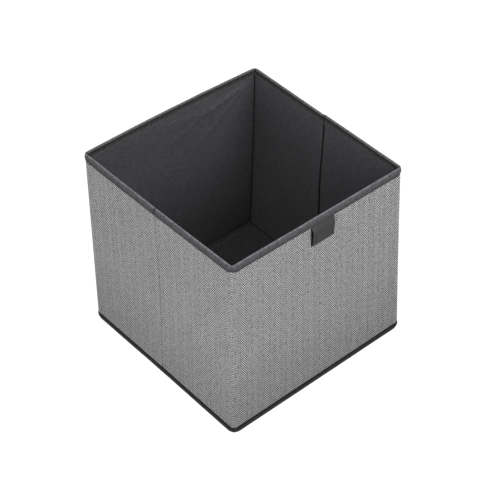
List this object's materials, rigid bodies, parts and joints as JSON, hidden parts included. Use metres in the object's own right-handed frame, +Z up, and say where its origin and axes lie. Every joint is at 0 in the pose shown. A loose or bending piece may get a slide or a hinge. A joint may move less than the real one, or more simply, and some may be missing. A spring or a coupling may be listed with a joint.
{
  "type": "folding fabric storage bin",
  "caption": "Open-topped cube bin of cloth over card walls, with a bound rim, a pull tab, a hinged base board and side walls that fold inwards at the middle.",
  "frame": {"origin": "on the floor at the middle of the open bin, level with the underside of the bottom fabric", "axes": "+Z up, front wall with the pull tab at -Y, right side wall at +X"},
  "size_m": [0.3008, 0.3023, 0.3],
  "materials": {
    "herringbone_cloth": "light and dark grey herringbone twill",
    "lining_cloth": "matt charcoal non-woven lining",
    "rim_tape": "dark grey folded binding tape",
    "foot_tape": "dark grey folded binding tape",
    "tab_cloth": "dark grey folded cloth",
    "seam_cloth": "sewn seam allowance, hidden",
    "bottom_cloth": "charcoal non-woven bottom cloth",
    "greyboard": "grey pasteboard, hidden in the cloth"
  },
  "bodies": {
    "back_wall": {"back_card": "greyboard", "back_fabric": "herringbone_cloth", "back_lining": "lining_cloth", "back_rim_binding": "rim_tape", "back_foot_binding": "foot_tape", "back_left_corner": "seam_cloth", "back_right_corner": "seam_cloth", "bottom_fabric": "bottom_cloth"},
    "left_rear_panel": {"left_rear_card": "greyboard", "left_rear_fabric": "herringbone_cloth", "left_rear_lining": "lining_cloth", "left_rear_rim_binding": "rim_tape", "left_rear_foot_binding": "foot_tape"},
    "left_front_panel": {"left_front_card": "greyboard", "left_front_fabric": "herringbone_cloth", "left_front_lining": "lining_cloth", "left_front_rim_binding": "rim_tape", "left_front_foot_binding": "foot_tape"},
    "front_wall": {"front_card": "greyboard", "front_fabric": "herringbone_cloth", "front_lining": "lining_cloth", "front_rim_binding": "rim_tape", "front_foot_binding": "foot_tape", "front_left_corner": "seam_cloth", "front_right_corner": "seam_cloth"},
    "right_front_panel": {"right_front_card": "greyboard", "right_front_fabric": "herringbone_cloth", "right_front_lining": "lining_cloth", "right_front_rim_binding": "rim_tape", "right_front_foot_binding": "foot_tape"},
    "right_rear_panel": {"right_rear_card": "greyboard", "right_rear_fabric": "herringbone_cloth", "right_rear_lining": "lining_cloth", "right_rear_rim_binding": "rim_tape", "right_rear_foot_binding": "foot_tape"},
    "base_board": {"base_card": "greyboard", "base_cover": "lining_cloth", "base_hem": "lining_cloth"},
    "pull_tab": {"pull_tab": "tab_cloth"}
  },
  "joints": [
    {"name": "fold", "type": "hinge", "parent": "back_wall", "child": "left_rear_panel", "pos_m": [-0.147, 0.1418, 0.15], "axis": [0, 0, 1], "range_deg": [0, 90], "deforming": ["bottom_fabric", "back_foot_binding", "front_foot_binding", "left_rear_foot_binding", "left_front_foot_binding", "right_rear_foot_binding", "right_front_foot_binding"]},
    {"name": "left_crease", "type": "hinge", "parent": "left_rear_panel", "child": "left_front_panel", "pos_m": [-0.15075, 0, 0.15], "axis": [0, 0, -1], "range_deg": [0, 180]},
    {"name": "left_front_corner", "type": "hinge", "parent": "left_front_panel", "child": "front_wall", "pos_m": [-0.147, -0.1418, 0.15], "axis": [0, 0, 1], "range_deg": [0, 90]},
    {"name": "right_front_corner", "type": "hinge", "parent": "front_wall", "child": "right_front_panel", "pos_m": [0.147, -0.1418, 0.15], "axis": [0, 0, 1], "range_deg": [0, 90]},
    {"name": "right_rear_corner", "type": "hinge", "parent": "back_wall", "child": "right_rear_panel", "pos_m": [0.147, 0.1418, 0.15], "axis": [0, 0, -1], "range_deg": [0, 90]},
    {"name": "base_lift", "type": "hinge", "parent": "back_wall", "child": "base_board", "pos_m": [0, 0.1462, 0.0046], "axis": [-1, 0, 0], "range_deg": [0, 90]},
    {"name": "tab_flip", "type": "hinge", "parent": "front_wall", "child": "pull_tab", "pos_m": [0.005, -0.1513, 0.2876], "axis": [-1, 0, 0], "range_deg": [0, 150]}
  ],
  "couplings": [
    {"joint": "left_crease", "follows": "fold", "ratio": 2},
    {"joint": "left_front_corner", "follows": "fold", "ratio": 1},
    {"joint": "right_front_corner", "follows": "fold", "ratio": 1},
    {"joint": "right_rear_corner", "follows": "fold", "ratio": 1}
  ]
}
